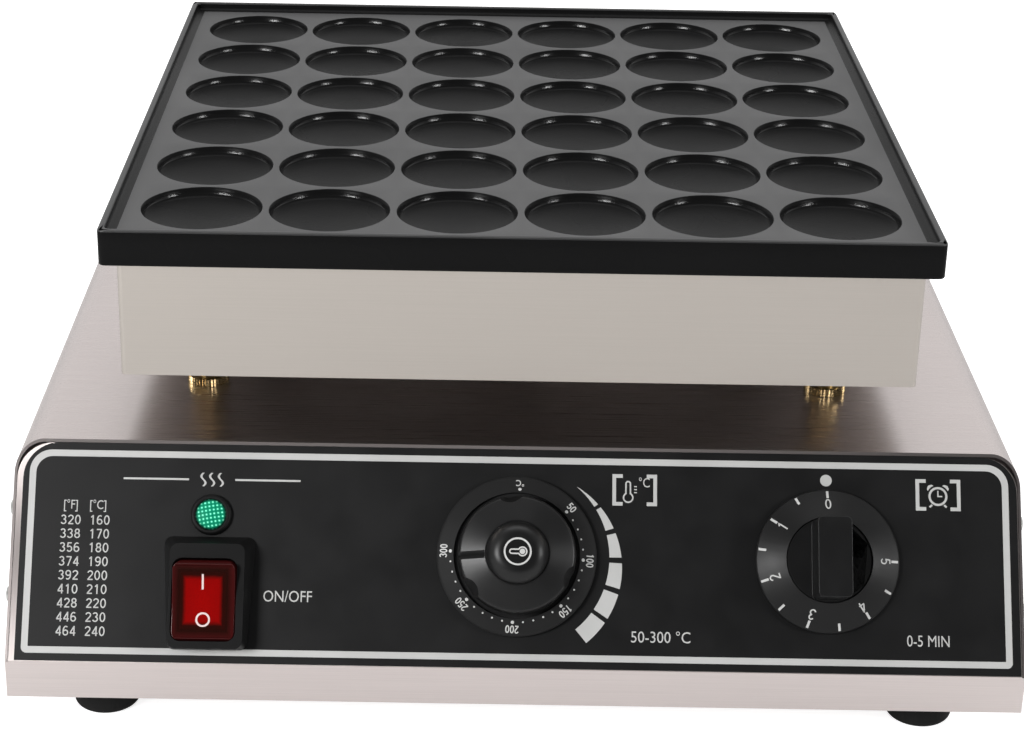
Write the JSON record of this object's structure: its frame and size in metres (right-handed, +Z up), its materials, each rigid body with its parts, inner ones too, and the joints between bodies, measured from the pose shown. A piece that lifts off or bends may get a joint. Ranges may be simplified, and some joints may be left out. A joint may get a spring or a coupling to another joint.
{
  "type": "electric muffin maker",
  "caption": "Open-topped countertop griddle with a dished black baking plate on a steel heater box, standing on levelling nuts over a base with a sloped control panel.",
  "frame": {"origin": "on the table, under the middle of the outline", "axes": "+X to the right seen from the front, +Y from the control panel to the rear, +Z up"},
  "size_m": [0.3732, 0.3876, 0.1773],
  "materials": {
    "cast_nonstick": "cast aluminium under a satin black non-stick coat",
    "brushed_steel": "fine horizontal brushing",
    "panel_film": "satin printed film",
    "black_plastic": "moulded, semi-gloss",
    "knob_plastic": "moulded, satin to gloss",
    "red_lens": "translucent red",
    "green_lens": "translucent green",
    "brass": "turned and knurled",
    "rubber": "matt moulded",
    "zinc_steel": "zinc plated",
    "element_sheath": "heat darkened",
    "ceramic_fibre": "compressed fibre",
    "copper": "drawn tube",
    "cream_plastic": "moulded",
    "wire_sleeve": "braided sleeve"
  },
  "bodies": {
    "base": {"baking_plate": "cast_nonstick", "heater_box": "brushed_steel", "base_shell": "brushed_steel", "front_panel": "brushed_steel", "rear_panel": "brushed_steel", "bottom_tray": "brushed_steel", "panel_overlay": "panel_film", "switch_frame": "black_plastic", "switch_body": "black_plastic", "lamp_bezel": "black_plastic", "cord_gland": "black_plastic", "gland_nut": "black_plastic", "lamp_lens": "green_lens", "switch_terminals": "brass", "earth_stud": "brass", "foot_1": "rubber", "foot_2": "rubber", "foot_3": "rubber", "foot_4": "rubber", "plate_screws": "zinc_steel", "clamp_bolts": "zinc_steel", "clip_screws": "zinc_steel", "bulb_clip": "zinc_steel", "element_clamp_front": "zinc_steel", "element_clamp_rear": "zinc_steel", "conduit": "zinc_steel", "conduit_nut": "zinc_steel", "leg_bolts": "zinc_steel", "leg_lock_nuts": "zinc_steel", "shell_screws": "zinc_steel", "foot_screws": "zinc_steel", "lamp_nut": "zinc_steel", "thermostat_screws": "zinc_steel", "timer_screws": "zinc_steel", "block_screws": "zinc_steel", "thermostat_body": "zinc_steel", "heating_element_1": "element_sheath", "heating_element_2": "element_sheath", "heating_element_3": "element_sheath", "insulation_pad": "ceramic_fibre", "thermostat_bulb": "copper", "capillary_tube": "copper", "timer_body": "cream_plastic", "terminal_block": "cream_plastic", "heater_leads": "wire_sleeve", "power_leads": "wire_sleeve"},
    "rocker": {"switch_rocker": "red_lens"},
    "temperature_knob": {"thermostat_shaft": "brass", "temperature_dial": "knob_plastic", "temperature_grip": "knob_plastic", "temperature_cap": "knob_plastic"},
    "timer_knob": {"timer_shaft": "brass", "timer_skirt": "knob_plastic", "timer_grip": "knob_plastic"},
    "nut_front_left": {"levelling_nut_1": "brass"},
    "nut_front_right": {"levelling_nut_2": "brass"},
    "nut_rear_left": {"levelling_nut_3": "brass"},
    "nut_rear_right": {"levelling_nut_4": "brass"}
  },
  "joints": [
    {"name": "power_rocker", "type": "hinge", "parent": "base", "child": "rocker", "pos_m": [-0.1129, -0.18069, 0.05221], "axis": [-1, 0, 0], "range_deg": [0, 16]},
    {"name": "temperature_dial", "type": "hinge", "parent": "base", "child": "temperature_knob", "pos_m": [0, -0.16692, 0.06475], "axis": [0, -0.829, 0.5592], "range_deg": [0, 273]},
    {"name": "timer_dial", "type": "hinge", "parent": "base", "child": "timer_knob", "pos_m": [0.1134, -0.16692, 0.06475], "axis": [0, 0.829, -0.5592], "range_deg": [0, 270]},
    {"name": "levelling_nut_front_left", "type": "hinge", "parent": "base", "child": "nut_front_left", "pos_m": [-0.12, -0.08915, 0.0985], "axis": [0, 0, 1], "range_deg": [-180, 180]},
    {"name": "levelling_nut_front_right", "type": "hinge", "parent": "base", "child": "nut_front_right", "pos_m": [0.12, -0.08915, 0.0985], "axis": [0, 0, 1], "range_deg": [-180, 180]},
    {"name": "levelling_nut_rear_left", "type": "hinge", "parent": "base", "child": "nut_rear_left", "pos_m": [-0.12, 0.12685, 0.0985], "axis": [0, 0, 1], "range_deg": [-180, 180]},
    {"name": "levelling_nut_rear_right", "type": "hinge", "parent": "base", "child": "nut_rear_right", "pos_m": [0.12, 0.12685, 0.0985], "axis": [0, 0, 1], "range_deg": [-180, 180]}
  ]
}
